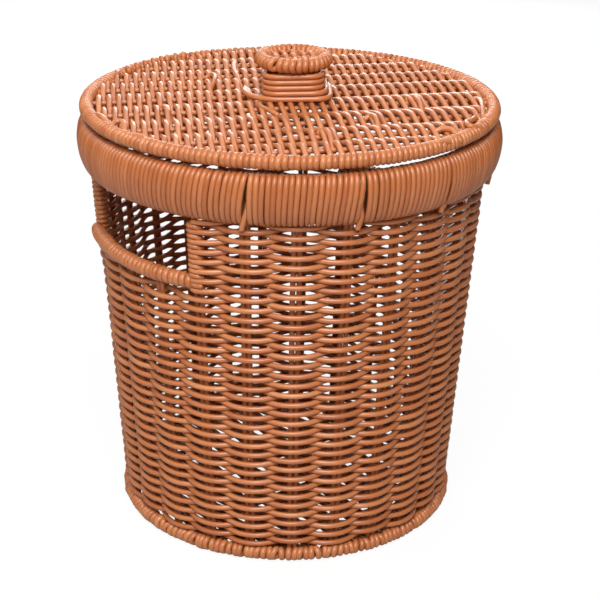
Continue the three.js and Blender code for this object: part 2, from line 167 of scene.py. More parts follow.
# Lid
LID_TURN = math.radians(-27)
LID_PITCH = 4.7 * MM
LID_SWING = 4.7 * MM
LID_SPLAY = 0.08
LID_CANE = 5.3 * MM
LID_RIBS = np.array([-158, -120, -76, -25, 20, 60, 96, 137]) * MM
LID_RIB_WIDTH, LID_RIB_DEPTH = 4.5 * MM, 5.0 * MM
LID_RIB_MORE = 2 * MM          # added to the radius that the ribs reach
LID_WOUND = (-158 * MM, -78 * MM)      # where the lid's strand goes round its ring
LID_RING_UNEVEN = 0.085
KNOB_TURN = math.radians(-38)
LOOSE_ENDS = (
    ((-118, -46, 2), (-115, -46, 6), (-111, -60, 6), (-108, -83, -2)),
    ((-82, 66, 3), (-77, 71, 6), (-73, 61, 7), (-73, 46, 6), (-76, 34, 2)),
    ((-56, 112, 7), (-55, 88, 6), (-51, 67, 4), (-46, 44, -2)),
    ((109, -2, 2), (115, -2, 6), (120, -23, 6), (121, -53, -2)),
    ((67, -67, 2), (73, -67, 6), (77, -82, 6), (79, -105, -2)),
    ((-157, -108, 2), (-155, -98, 6), (-149, -97, 7), (-145, -106, 5), (-144, -118, -1)),
    ((-141, -127, 3), (-134, -132, 5), (-126, -137, 5), (-118, -139, 0)),
    ((126, -107, 3), (134, -107, 6), (142, -113, 6), (147, -129, 1)),
    ((119, -146, 2), (128, -143, 5), (137, -138, 4)),
    ((167, -61, 3), (162, -80, 6), (156, -90, 7), (158, -101, 7), (168, -96, 4)),
    ((171, 1, 3), (177, -8, 5), (177, -32, 6), (175, -58, 2)),
    ((24, -114, 2), (29, -115, 6), (34, -129, 6), (37, -153, -2)),
    ((-177, -62, 3), (-170, -77, 6), (-164, -90, 6), (-158, -95, 1)),
    ((-31, -27, 3), (-25, -42, 5), (-18, -51, 5), (-11, -56, 2)),
    ((-43, 22, 6), (-38, 1, 6), (-35, -30, -2)))
LOOSE_CANE = 5.2 * MM

# Knob
COIL_ROWS = 5
COIL_PITCH = 5.2 * MM
COIL_CANE = 5.3 * MM
COIL_HALF_WIDTH = 27.2 * MM
COIL_CORNER = 12 * MM
COIL_SPREAD = 8 * MM
COIL_END_RADIUS = 32 * MM
COIL_END_PLACE = 14 * MM
COIL_ROUNDING = 5 * MM
KNOB_WEAVE_TURN = KNOB_TURN + math.radians(21)
KNOB_RIBS = np.arange(-2, 3) * 16 * MM
KNOB_PITCH = 4.4 * MM
KNOB_SWING = 3.5 * MM
KNOB_CANE = 4.5 * MM
KNOB_RIB_WIDTH, KNOB_RIB_DEPTH = 4 * MM, 5 * MM
KNOB_OVERLAP = 1.5 * MM        # how far its top reaches into its ring
UPRIGHT_CANE = 4.6 * MM
UPRIGHT_MORE = 8 * MM          # how far an upright goes on into the knob's ring

# Base panel
BASE_RIBS = (np.arange(4) - 1.5) * 66 * MM
BASE_PITCH = 15.5 * MM
BASE_SWING = 3.4 * MM
BASE_CANE_APART = 4.9 * MM     # between the three canes that lie side by side
BASE_EDGE = 5 * MM             # left free at the ring for the outer canes
BASE_CANE_WIDTH, BASE_CANE_DEPTH = 4.4 * MM, 4.7 * MM
BASE_RIB_WIDTH, BASE_RIB_DEPTH = 3.6 * MM, 9 * MM

# Shade of a strand between 0, dark, and 1, light
TONE = 0.5
TONE_SPREAD = 0.16             # along a strand, or from turn to turn of a winding
# The rim band's turns are darker than the other cane: painted shade
BAND_PAINTED_SHADE_TONE = 0.27
STAKE_TONE = 0.42
CUT_END_TONE = 0.45            # of the ties and of the handle bars' ends
LID_TONE = 0.55                # of its ribs and loose ends
RIB_TONE_SPREAD = 0.1          # from stake to stake and from rib to rib
END_TONE_SPREAD = 0.12


# Lines and sections

def unit(vectors):
    """Each vector divided by its own length."""
    return vectors / np.linalg.norm(vectors, axis=-1, keepdims=True)


def polar(angle, radius, height):
    """Points at an angle from the front, a radius and a height."""
    angle, radius, height = np.broadcast_arrays(angle, radius, height)
    return np.stack([radius * np.sin(angle), -radius * np.cos(angle), height], -1)


def tangent(angle):
    """Level direction of growing angle, along a hoop."""
    angle = np.asarray(angle, float)
    return np.stack([np.cos(angle), np.sin(angle), np.zeros_like(angle)], -1)


def plan_turn(angle):
    """The matrix that turns rows of points about the upright axis."""
    c, s = math.cos(angle), math.sin(angle)
    return np.array([[c, s, 0], [-s, c, 0], UP])


def ease(share):
    """A smooth step from 0 to 1: three times the square less twice the cube."""
    share = np.clip(share, 0, 1)
    return share * share * (3 - 2 * share)


def weave(phase):
    """In and out once every two stakes: a cosine whose crests are a little flattened."""
    crest = np.cos(np.pi * phase)
    return crest * (1 + FLAT_CREST - FLAT_CREST * crest * crest)


def drift(where, amount, rng):
    """A smooth random wander: seeded values at whole numbers, eased from one to the next."""
    low = math.floor(np.min(where))
    values = rng.normal(0, amount, math.ceil(np.max(where)) - low + 2)
    cell = np.floor(where).astype(int) - low
    blend = ease(where - np.floor(where))
    return values[cell] * (1 - blend) + values[cell + 1] * blend


def tones_along(count, span, rng):
    """Shades of a strand's points, wandering from one value to the next in span points."""
    return TONE + drift(np.arange(count) / span, TONE_SPREAD, rng)


def curve(points, per_span, closed=False):
    """A smooth curve through points: on each span the cubic whose slope at a point is half
    the way from the point before it to the point after it."""
    start = np.asarray(points, float)
    if closed:
        before, end, after = (np.roll(start, shift, 0) for shift in (1, -1, -2))
    else:
        before = np.vstack([2 * start[0] - start[1], start[:-2]])
        after = np.vstack([start[2:], 2 * start[-1] - start[-2]])
        start, end = start[:-1], start[1:]
    share = (np.arange(per_span) / per_span)[None, :, None]
    cubic = (-before + 3 * start - 3 * end + after)[:, None] / 2
    square = (2 * before - 5 * start + 4 * end - after)[:, None] / 2
    slope = (end - before)[:, None] / 2
    found = ((cubic * share + square) * share + slope) * share + start[:, None]
    found = found.reshape(-1, found.shape[-1])
    return found if closed else np.vstack([found, np.asarray(points, float)[-1]])


def distances(line):
    """How far along a line each of its points lies."""
    steps = np.linalg.norm(np.diff(line, axis=0), axis=1)
    return np.concatenate([[0], np.cumsum(steps)])


def evenly(points, count, closed=False):
    """The same line with its points an even distance apart."""
    line = np.vstack([points, points[:1]]) if closed else points
    distance = distances(line)
    places = np.linspace(0, distance[-1], count, endpoint=not closed)
    return np.stack([np.interp(places, distance, line[:, k]) for k in range(line.shape[1])], -1)


def strand(path, wide, width, depth, sides=8, tone=TONE, closed=False):
    """An oval section carried along a path: its width lies along wide, square to the path,
    and its depth square to both. Open ends are cut flat with a small bevel."""
    path = np.asarray(path, float)
    wide = np.broadcast_to(np.asarray(wide, float), path.shape)
    width = np.broadcast_to(np.asarray(width, float), len(path))
    depth = np.broadcast_to(np.asarray(depth, float), len(path))
    if closed:
        along = unit(np.roll(path, -1, 0) - np.roll(path, 1, 0))
    else:
        bevel, narrow = 0.16 * min(width[0], depth[0]), 0.72
        along = unit(np.gradient(path, axis=0))
        path = np.vstack([path[0] - bevel * along[0], path, path[-1] + bevel * along[-1]])
        wide = np.vstack([wide[0], wide, wide[-1]])
        along = np.vstack([along[0], along, along[-1]])
        width = np.concatenate([[narrow * width[0]], width, [narrow * width[-1]]])
        depth = np.concatenate([[narrow * depth[0]], depth, [narrow * depth[-1]]])
    wide = unit(wide - along * np.sum(wide * along, -1, keepdims=True))
    deep = np.cross(along, wide)
    turn = np.arange(sides) * 2 * np.pi / sides
    grid = path[:, None]
    grid = grid + np.cos(turn)[None, :, None] * (wide * width[:, None] / 2)[:, None]
    grid = grid + np.sin(turn)[None, :, None] * (deep * depth[:, None] / 2)[:, None]
    return grid, distances(np.vstack([path, path[:1]]) if closed else path), tone, closed


def cord(points, per_span=6, tone=TONE, thickness=CANE):
    """A loose stretch of cane along the smooth curve through a few points."""
    return strand(curve(points, per_span), UP, thickness, thickness, tone=tone)


def side_faces(ids, distance, closed):
    """The corners of every face along a strand, and their UVs: U runs along the strand in
    metres and V once round it."""
    sides = ids.shape[1]
    lower, upper = (ids, np.roll(ids, -1, 0)) if closed else (ids[:-1], ids[1:])
    corners = [lower, np.roll(lower, -1, 1), np.roll(upper, -1, 1), upper]
    u0, u1 = distance[:len(lower), None], distance[1:len(lower) + 1, None]
    v0 = np.arange(sides)[None, :] / sides
    v1 = v0 + 1 / sides
    uvs = [(u0, v0), (u0, v1), (u1, v1), (u1, v0)]
    uvs = [np.stack(np.broadcast_arrays(u, v), -1) for u, v in uvs]
    return np.stack(corners, -1).reshape(-1, 4), np.stack(uvs, 2).reshape(-1, 2)


def make_piece(name, strands, body, replaces=(), slot="cane"):
    """One mesh of all the strands. The attribute tone is each strand's shade, which on the rim
    band's turns holds painted shade.
    """
    points, quads, caps, quad_uvs, cap_uvs, tones = [], [], [], [], [], []
    first = 0
    for grid, distance, tone, closed in strands:
        rings, sides, _ = grid.shape
        ids = first + np.arange(rings * sides).reshape(rings, sides)
        first += rings * sides
        corners, uvs = side_faces(ids, distance, closed)
        quads.append(corners)
        quad_uvs.append(uvs)
        if not closed:
            caps += [ids[0][::-1], ids[-1]]
            cap_uvs += [np.full((sides, 2), distance[0]), np.full((sides, 2), distance[-1])]
        points.append(grid.reshape(-1, 3))
        shades = np.broadcast_to(np.asarray(tone, float).reshape(-1, 1), (rings, sides))
        tones.append(shades.ravel())
    quads = np.concatenate(quads)
    cap_starts = 4 * len(quads) + np.cumsum([0] + [len(cap) for cap in caps])[:-1]
    starts = np.concatenate([4 * np.arange(len(quads)), cap_starts])
    corners = np.concatenate([quads.ravel()] + caps)
    mesh = bpy.data.meshes.new(name)
    mesh.vertices.add(first)
    mesh.vertices.foreach_set("co", np.concatenate(points).astype(np.float32).ravel())
    mesh.loops.add(len(corners))
    mesh.loops.foreach_set("vertex_index", corners.astype(np.int32))
    mesh.polygons.add(len(starts))
    mesh.polygons.foreach_set("loop_start", starts.astype(np.int32))
    mesh.update(calc_edges=True)
    mesh.polygons.foreach_set("use_smooth", np.ones(len(starts), bool))
    uvs = np.concatenate(quad_uvs + cap_uvs).astype(np.float32)
    mesh.uv_layers.new(name="UVMap").data.foreach_set("uv", uvs.ravel())
    shade = mesh.attributes.new("tone", "FLOAT", "POINT")
    shade.data.foreach_set("value", np.concatenate(tones).astype(np.float32))
    mesh.materials.append(FINISHES[slot])
    piece = bpy.data.objects.new(name, mesh)
    bpy.context.scene.collection.objects.link(piece)
    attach(piece, body)
    if replaces:
        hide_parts(*replaces)


# Finishes

def linear(red, green, blue):
    """A screen colour of 0 to 255 as the linear colour that a shader takes."""
    share = np.array([red, green, blue]) / 255
    value = np.where(share <= 0.04045, share / 12.92, ((share + 0.055) / 1.055) ** 2.4)
    return (*value.tolist(), 1.0)


def new_finish(name):
    """An empty material with its node tree and its shader."""
    material = bpy.data.materials.new(name)
    material.use_nodes = True
    return material, material.node_tree, material.node_tree.nodes["Principled BSDF"]


def add_node(tree, kind, **inputs):
    """A node with some of its inputs set by name."""
    node = tree.nodes.new(kind)
    for key, value in inputs.items():
        node.inputs[key.replace("_", " ")].default_value = value
    return node


def add_noise(tree, place, **inputs):
    """The value of a noise at a place."""
    noise = add_node(tree, "ShaderNodeTexNoise", **inputs)
    tree.links.new(place, noise.inputs["Vector"])
    return noise.outputs["Fac"]


def add_math(tree, operation, *values):
    """The result of a Math node on numbers and on other nodes' outputs."""
    node = tree.nodes.new("ShaderNodeMath")
    node.operation = operation
    for socket, value in zip(node.inputs, values):
        if isinstance(value, bpy.types.NodeSocket):
            tree.links.new(value, socket)
        else:
            socket.default_value = value
    return node.outputs["Value"]


def add_range(tree, share, low, high):
    """A share of 0 to 1 as a value from low to high."""
    node = add_node(tree, "ShaderNodeMapRange", To_Min=low, To_Max=high)
    tree.links.new(share, node.inputs["Value"])
    return node.outputs["Result"]


def cane_finish(name, shade, body, light, roughness):
    """Satin plastic cane: a mottled caramel that differs a little from strand to strand and is
    darker on the rim band's turns as painted shade, faint lines along each strand, and a gloss that
    comes and goes."""
    material, tree, shader = new_finish(name)
    shader.inputs["Specular IOR Level"].default_value = 0.68
    own_share, cloud_share = 0.65, 0.35
    place = tree.nodes.new("ShaderNodeTexCoord")
    cloud = add_noise(tree, place.outputs["Object"], Scale=70.0, Detail=3.0, Roughness=0.6)
    tone = tree.nodes.new("ShaderNodeAttribute")
    tone.attribute_name = "tone"
    own = add_math(tree, "MULTIPLY", tone.outputs["Fac"], own_share)
    mixed = add_math(tree, "MULTIPLY_ADD", cloud, cloud_share, own)
    ramp = tree.nodes.new("ShaderNodeValToRGB")
    dark_stop, light_stop = ramp.color_ramp.elements
    dark_stop.position, dark_stop.color = 0.2, shade
    light_stop.position, light_stop.color = 0.8, light
    ramp.color_ramp.elements.new(0.5).color = body
    tree.links.new(mixed, ramp.inputs["Fac"])
    tree.links.new(ramp.outputs["Color"], shader.inputs["Base Color"])

    grain = add_noise(tree, place.outputs["Object"], Scale=420.0, Detail=2.0, Roughness=0.5)
    gloss = add_range(tree, grain, roughness - 0.06, roughness + 0.08)
    tree.links.new(gloss, shader.inputs["Roughness"])

    around = tree.nodes.new("ShaderNodeSeparateXYZ")
    tree.links.new(place.outputs["UV"], around.inputs["Vector"])
    lines_round, line_height = 9, 0.25
    lines = add_math(tree, "MULTIPLY", around.outputs["Y"], 2 * math.pi * lines_round)
    relief = add_math(tree, "MULTIPLY_ADD", add_math(tree, "SINE", lines), line_height, grain)
    bump = add_node(tree, "ShaderNodeBump", Strength=0.06, Distance=0.12 * MM)
    tree.links.new(relief, bump.inputs["Height"])
    tree.links.new(bump.outputs["Normal"], shader.inputs["Normal"])
    return material


def steel_finish():
    """Steel wire: plain metal whose roughness is mottled by a fine noise."""
    material, tree, shader = new_finish("hoop_steel")
    shader.inputs["Base Color"].default_value = linear(150, 148, 145)
    shader.inputs["Metallic"].default_value = 1.0
    place = tree.nodes.new("ShaderNodeTexCoord")
    grain = add_noise(tree, place.outputs["Object"], Scale=600.0, Detail=2.0)
    tree.links.new(add_range(tree, grain, 0.28, 0.48), shader.inputs["Roughness"])
    return material


FINISHES = {
    "cane": cane_finish("caramel_cane", linear(174, 97, 51), linear(190, 114, 66),
                        linear(203, 131, 81), 0.37),
    "wire": steel_finish()}


# Wall

def wall_radius(height):
    """The wall's middle widens evenly from the base ring to the rim band."""
    share = (height - BASE_TOP) / (WALL_TOP - BASE_TOP)
    return FOOT_RADIUS + (MOUTH_RADIUS - FOOT_RADIUS) * share


def stake_angle(index):
    """Stakes stand at even steps, the first half a step from the front."""
    return (np.asarray(index, float) + 0.5) * STAKE_STEP


def ripple(angle, height):
    """A gentle wave of the whole wall, shared by neighbouring rows: two sines of the angle
    whose phase turns slowly with height."""
    return WAVE * (np.sin(3 * angle + 14 * height) + 0.7 * np.sin(7 * angle - 23 * height + 1.3))


def sag(angle):
    """How much lower a strand lies outside a stake, which changes round the hamper."""
    front = 0.5 + 0.5 * np.cos(angle - KNOB_TURN)
    return SAG_BACK + (SAG_FRONT - SAG_BACK) * front


def bulge(angle, height):
    """The wall is pushed out a little where the far end of the left bar is tied on: a bell
    curve of the angle and of the height."""
    beside = (np.mod(angle, 2 * np.pi) - stake_angle(LEFT_OPENING[0])) / BULGE_ANGLE
    above = (height - BAR_HEIGHT) / BULGE_HEIGHT
    return BULGE_OUT * np.exp(-beside ** 2 - above ** 2)


def wall_spiral(length):
    """One length of the wall: radius swings by the weave while the height climbs one row a
    turn, and each crossing wanders a little."""
    rng = np.random.default_rng(20 + length)
    first = round(SPIRAL_CROSSINGS * length / WALL_LENGTHS)
    last = round(SPIRAL_CROSSINGS * (length + 1) / WALL_LENGTHS)
    start = first + (LENGTH_GAP if length else 0)
    step = np.linspace(start, last, (last - first) * POINTS_PER_STAKE + 1)
    side = weave(step)
    angle = stake_angle(step - SPIRAL_CROSSINGS + SPIRAL_END_STAKE)
    height = FIRST_ROW + ROW_PITCH * step / STAKES
    radius = wall_radius(height) + SWING * side + drift(step, SPIRAL_WANDER, rng)
    radius += bulge(angle, height)
    lift = ripple(angle, height) - sag(angle) * side + drift(step, SPIRAL_WANDER, rng)
    lift = lift * ease((height - FIRST_ROW) / (SETTLE_ROWS * ROW_PITCH) + SETTLE_START)
    tone = TONE + drift(step / 9, TONE_SPREAD, rng)
    path = polar(angle, radius, height + lift)
    return strand(path, UP, CANE, CANE, tone=np.concatenate([tone[:1], tone, tone[-1:]]))


def spiral_step_below(index):
    """The spiral's last crossing under a place of a panel."""
    return SPIRAL_CROSSINGS - np.mod(SPIRAL_END_STAKE - index, STAKES)


def panel_strand(first_stake, last_stake, rows, seed):
    """To and fro between two end stakes: along a row the weave, and at the row's end one and a
    half turns round the end stake, an oval that rises to the next row."""
    rng = np.random.default_rng(seed)
    reach = EDGE_PAIR / 2 + STAKE_CANE_WIDTH / 2 + 0.45 * CANE

    def height_at(index, row):
        """Rows share the room between the spiral's last row and the rim band evenly."""
        under = FIRST_ROW + ROW_PITCH * (spiral_step_below(index) / STAKES + 1)
        return under + (LAST_ROW - under) * row / (rows - 1)

    parts = []
    for row in range(rows):
        forward = row % 2 == 0
        start, end = (first_stake, last_stake) if forward else (last_stake, first_stake)
        way = 1 if forward else -1
        index = np.linspace(start, end, (last_stake - first_stake) * POINTS_PER_STAKE + 1)
        outside = weave(spiral_step_below(start) + row + 1 + (index - start))
        height = height_at(index, row)
        edge = ease(1 - np.minimum(index - first_stake, last_stake - index) / EDGE_SPAN)
        radius = wall_radius(height) + EDGE_OUT * edge + drift(index, PANEL_WANDER_OUT, rng)
        radius += SWING * outside * (1 - (1 - EDGE_SWING) * edge)
        lift = ripple(stake_angle(index), height) - sag(stake_angle(index)) * outside
        lift = lift + drift(index, PANEL_WANDER_UP, rng)
        parts.append(polar(stake_angle(index), radius, height + lift))
        if row == rows - 1:
            break
        turn = np.linspace(0, 3 * np.pi, TURN_POINTS + 2)[1:-1]
        climb = ease((turn - np.pi) / (np.pi if outside[-1] > 0 else 2 * np.pi))
        height = height_at(end, row + climb)
        side = SWING * outside[-1] * np.cos(turn)
        middle = polar(stake_angle(end), wall_radius(height) + EDGE_OUT + EDGE_SWING * side,
                       height + ripple(stake_angle(end), height))
        sideways = way * (reach + drift(np.full(1, row), TURN_WANDER, rng)) * np.sin(turn)
        parts.append(middle + sideways[:, None] * tangent(stake_angle(end)))
    path = np.vstack(parts)
    return strand(path, UP, CANE, CANE, tone=tones_along(len(path) + 2, 80, rng))


def is_short(index):
    """Whether a stake stops under a hand opening."""
    return any(low < index < high for low, high in (RIGHT_OPENING, LEFT_OPENING))


def stake_pair(index):
    """Two upright canes side by side, leaning out with the wall. Beside a hand opening they
    close up and move out above the bar."""
    rng = np.random.default_rng(300 + index)
    angle = stake_angle(index)
    solid_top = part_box(f"stake_{index + 1:02d}")[1].z
    top = solid_top + (SHORT_STAKE_RISE if is_short(index) else -STAKE_DROP)
    height = np.linspace(BASE_TOP - STAKE_FOOT, top, 36)
    pair = []
    for side in (-1, 1):
        radius = wall_radius(height) + bulge(angle, height)
        apart = STAKE_PAIR
        if index in (*RIGHT_OPENING, *LEFT_OPENING):
            beside = ease((height - BAR_HEIGHT + EDGE_START) / EDGE_RISE)
            radius += EDGE_STAKE_OUT * EDGE_OUT * beside
            apart = STAKE_PAIR + (EDGE_PAIR - STAKE_PAIR) * beside
        shift = side * apart / 2 + drift(height / STAKE_WANDER_SPAN, STAKE_WANDER, rng)
        path = polar(angle, radius, height) + shift[:, None] * tangent(angle)
        pair.append(strand(path, tangent(angle), STAKE_CANE_WIDTH, STAKE_CANE_DEPTH,
                           tone=STAKE_TONE + rng.normal(0, RIB_TONE_SPREAD)))
    return pair


def build_wall():
    """The spiral's lengths, the two panels above it and the stakes."""
    for length in range(WALL_LENGTHS):
        make_piece(f"wall_weave_{length + 1}", [wall_spiral(length)], "hamper",
                   [f"wall_strand_{length + 1}"])
    make_piece("front_panel_weave", [panel_strand(*FRONT_PANEL, FRONT_ROWS, 31)], "hamper",
               ["front_panel_strand"])
    make_piece("back_panel_weave", [panel_strand(*BACK_PANEL, BACK_ROWS, 32)], "hamper",
               ["back_panel_strand"])
    for index in range(STAKES):
        make_piece(f"stake_canes_{index + 1:02d}", stake_pair(index), "hamper",
                   [f"stake_{index + 1:02d}"])


# Windings

def round_profile(middle_radius, middle_height, radius, steps):
    """A circle of radius and height, from its upper inner side over the top and outwards."""
    turn = math.radians(150) - np.arange(steps) * 2 * np.pi / steps
    return np.stack([middle_radius + radius * np.cos(turn),
                     middle_height + radius * np.sin(turn)], -1)


def winding(angles, profile, width, depth, rng, slant=0.0, swell=0.03, sides=8, shade=TONE,
            out=0.0, up=0.0):
    """A cane wound round a hoop: turn i goes once round the profile at angles[i], and moves
    on to the next angle on its second half. Slant is how far its outer face leans, in all or
    for each turn, and out and up move each turn."""
    steps, turns = len(profile), len(angles) - 1
    out, up, slant = (np.broadcast_to(move, turns)[:, None] for move in (out, up, slant))
    share = np.arange(steps) / steps
    onward = ease((share - 0.5) / 0.5)
    lean = slant * (ease(share / 0.5) - onward - 0.5)
    angle = angles[:-1, None] + np.diff(angles)[:, None] * onward + lean
    middle = profile.mean(0)
    fullness = 1 + drift(np.arange(turns)[:, None] + share, swell, rng)
    radius = middle[0] + (profile[:, 0] - middle[0]) * fullness + out
    height = middle[1] + (profile[:, 1] - middle[1]) * fullness + up
    path = polar(angle, radius, height).reshape(-1, 3)
    broad = (width * radius / np.max(profile[:, 0])).ravel()
    tone = np.repeat(shade + rng.normal(0, TONE_SPREAD, turns), steps)
    return strand(path, tangent(angle.ravel()), broad, depth, sides,
                  np.concatenate([tone[:1], tone, tone[-1:]]))


def even_turns(start, end, count, rng, jitter):
    """Angles of turns, evenly spread with a small seeded error."""
    angles = np.linspace(start, end, count + 1)
    angles[1:-1] += rng.normal(0, jitter, count - 1)
    return angles


def band_profile():
    """The rim band's section through the middle of its cane: a flat inside that leans with
    the wall, a top that slopes inwards, and a face that swells outwards below its shoulder."""
    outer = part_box("rim_winding")[1].y - CANE / 2
    points = [(outer + across * MM, WALL_TOP + above * MM) for across, above in BAND_SECTION]
    return evenly(curve(points, 8, closed=True), BAND_POINTS, closed=True)


def band_wraps(outer, rng):
    """The rim band's turns, in groups between the tied stakes. In each group they lean more
    and more towards the next tie, and the last turn closes on the first."""
    half_gap = TIE_GAP / 2 / outer
    angles, slants = [], []
    for here, after in zip(TIES, TIES[1:] + (TIES[0] + STAKES,)):
        start = stake_angle(here) + half_gap + WRAP_PITCH / 2 / outer
        end = stake_angle(after) - half_gap - WRAP_PITCH / 2 / outer
        count = round((end - start) * outer / WRAP_PITCH)
        angles.append(even_turns(start, end, count, rng, WRAP_ERROR / outer))
        lean = LEAN_FIRST + LEAN_GROWTH * np.arange(count + 1) / count
        lean = lean + rng.normal(0, LEAN_ERROR, count + 1)
        slants.append(-lean * MM / outer)
    angles.append(angles[0][:1] + 2 * np.pi - WRAP_PITCH / outer)
    # The turns take a darker tone than the other cane, which is painted shade
    return winding(np.concatenate(angles), band_profile(), WRAP_WIDTH, WRAP_DEPTH, rng,
                   slant=np.concatenate(slants), swell=WRAP_SWELL, shade=BAND_PAINTED_SHADE_TONE)


def band_tie(stake, outer, rng):
    """A cut end of cane that hangs out between two groups of turns, a little way straight on
    from the last stretch of its route."""
    angle = stake_angle(stake)
    length = rng.uniform(*TIE_END) * MM
    path = [polar(angle + side * MM / outer, outer + across * MM, WALL_TOP + above * MM)
            for side, across, above in TIE_ROUTE]
    path.append(path[-1] + length * unit(path[-1] - path[-2]))
    return cord(np.array(path), 5, CUT_END_TONE + rng.normal(0, END_TONE_SPREAD))


def build_band():
    """The turns, their ties, and the two steel hoops inside them."""
    rng = np.random.default_rng(40)
    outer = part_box("rim_winding")[1].y
    make_piece("rim_wraps", [band_wraps(outer, rng)], "hamper", ["rim_winding"])
    make_piece("rim_ties", [band_tie(stake, outer, rng) for stake in TIES], "hamper")
    for node in ("rim_lower_hoop", "rim_upper_hoop"):
        low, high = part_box(node)
        turn = np.linspace(0, 2 * np.pi, 120, endpoint=False)
        path = polar(turn, high.y - HOOP_INSET, (low.z + high.z) / 2)
        make_piece(f"{node}_wire", [strand(path, UP, HOOP_WIRE, HOOP_WIRE, closed=True)],
                   "hamper", [node], "wire")


def bar_turns(start, end, first, last, radius, rng):
    """Angles of a bar's turns, in groups between the short stakes that are tied to it."""
    tied = [start, *stake_angle(np.arange(first + 1, last)), end]
    angles = []
    for here, after in zip(tied, tied[1:]):
        near = here + (BAR_TIE_GAP / radius if here != start else 0)
        far = after - (BAR_TIE_GAP / radius if after != end else 0)
        count = round((far - near) * radius / BAR_PITCH)
        angles.append(even_turns(near, far, count, rng, BAR_ERROR / radius))
    return np.concatenate(angles)


def build_handles():
    """A wound bar under each hand opening, on a steel rod, with a cut end of cane."""
    for name, (first, last), seed in (("right", RIGHT_OPENING, 51), ("left", LEFT_OPENING, 52)):
        rng = np.random.default_rng(seed)
        low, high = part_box(f"{name}_handle_bar")
        height = (low.z + high.z) / 2
        thickness = high.z - low.z
        radius = wall_radius(height)
        inset = BAR_INSET / radius
        start, end = stake_angle(first) + inset, stake_angle(last) - inset
        angles = bar_turns(start, end, first, last, radius, rng)
        share = (angles[:-1] - start) / (end - start)
        profile = round_profile(radius + BAR_OUT, height, thickness / 2 - BAR_CANE_DEPTH / 2, 18)
        wraps = winding(angles, profile, BAR_CANE_WIDTH, BAR_CANE_DEPTH, rng,
                        slant=BAR_LEAN / radius, out=bulge(angles[:-1], height),
                        up=(BAR_TILT * share - BAR_DROP) * MM)
        along, out, above = np.array(BAR_END).T * MM
        cut_end = cord(polar(end + along / radius, radius + out, height + above), 4,
                       CUT_END_TONE, BAR_END_CANE)
        make_piece(f"{name}_handle_wraps", [wraps, cut_end], "hamper", [f"{name}_handle_bar"])
        rod = polar(np.linspace(start + ROD_INSET, end - ROD_INSET, 40), radius + BAR_OUT,
                    height)
        make_piece(f"{name}_handle_rod", [strand(rod, UP, ROD, ROD)], "hamper", slot="wire")


def ring_sizes(node):
    """Of a wound ring's solid: the middle of its box, the radius to the middle of its
    section, its thickness and the radius of the room inside it."""
    low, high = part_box(node)
    thickness, half = high.z - low.z, (high.y - low.y) / 2
    centre = np.array([(low.x + high.x) / 2, (low.y + high.y) / 2, (low.z + high.z) / 2])
    return centre, half - thickness / 2, thickness, half - thickness


def wound_ring(name, node, body, rng, cane, pitch, slant=0.0, gap_at=0.0, gap=0.0, uneven=0.0,
               rough=1.0):
    """A hoop wound with cane all the way round, in the room of a node of the construction. A
    gap between two turns may show at one angle, and the turns may lie farther apart, by a
    share, on the side away from KNOB_TURN. Rough multiplies the small errors."""
    centre, middle, thickness, _ = ring_sizes(node)
    count = round(2 * np.pi * (middle + thickness / 2) / pitch)
    half_gap = gap / 2 / middle
    angles = even_turns(gap_at + half_gap, gap_at + 2 * np.pi - half_gap, count, rng,
                        RING_ERROR * rough / middle)
    angles -= uneven * np.sin(angles - KNOB_TURN)
    profile = round_profile(middle, centre[2], thickness / 2 - cane / 2, 20)
    leans = (slant + rng.normal(0, RING_LEAN_ERROR * rough, count)) / (middle + thickness / 2)
    grid, *rest = winding(angles, profile, RING_CANE_WIDTH * cane, RING_CANE_DEPTH * cane, rng,
                          leans, RING_SWELL * rough, sides=10)
    make_piece(name, [(grid + centre * [1, 1, 0], *rest)], body, [node])


# Round woven panels

def pass_reach(place, side, radius, splay):
    """How far a pass goes to its far side or its near side: half the chord of the circle at
    the place to which splay moves it there, found in four rounds."""
    reach = 0.0
    for _ in range(4):
        across = place * (1 - side * splay * reach / radius)
        reach = math.sqrt(max(radius ** 2 - across ** 2, PASS_LEAST_REACH ** 2))
    return reach


def turn_round_hoop(between, pitch, hoop, thickness, top):
    """From one pass to the next round the ring's hoop: most of a circle, drawn out sideways
    by one pitch, over the hoop first where top is 1 and under it first where top is -1."""
    share = np.linspace(0, 1, 16)[1:-1]
    turned = HOOP_TURN / 2 - HOOP_TURN * share
    x = between + (share - 0.5) * pitch
    middle = np.sqrt(hoop ** 2 - x ** 2)
    reach = thickness / 2 - HOOP_TURN_SHORTER
    y = middle + reach * np.cos(turned) * np.minimum(hoop / middle, HOOP_TURN_STRETCH)
    z = np.maximum(reach * np.sin(turned) * top, -thickness / 2 + CANE / 2)
    return np.stack([x, y, z], -1)


def turn_inside(between, pitch, last, way):
    """From one pass to the next inside the ring: half a circle."""
    bend = np.linspace(0, np.pi, 7)[1:-1]
    x = between - pitch / 2 * np.cos(bend)
    y = last + way * pitch / 2 * np.sin(bend)
    return np.stack([x, y, np.zeros(len(bend))], -1)


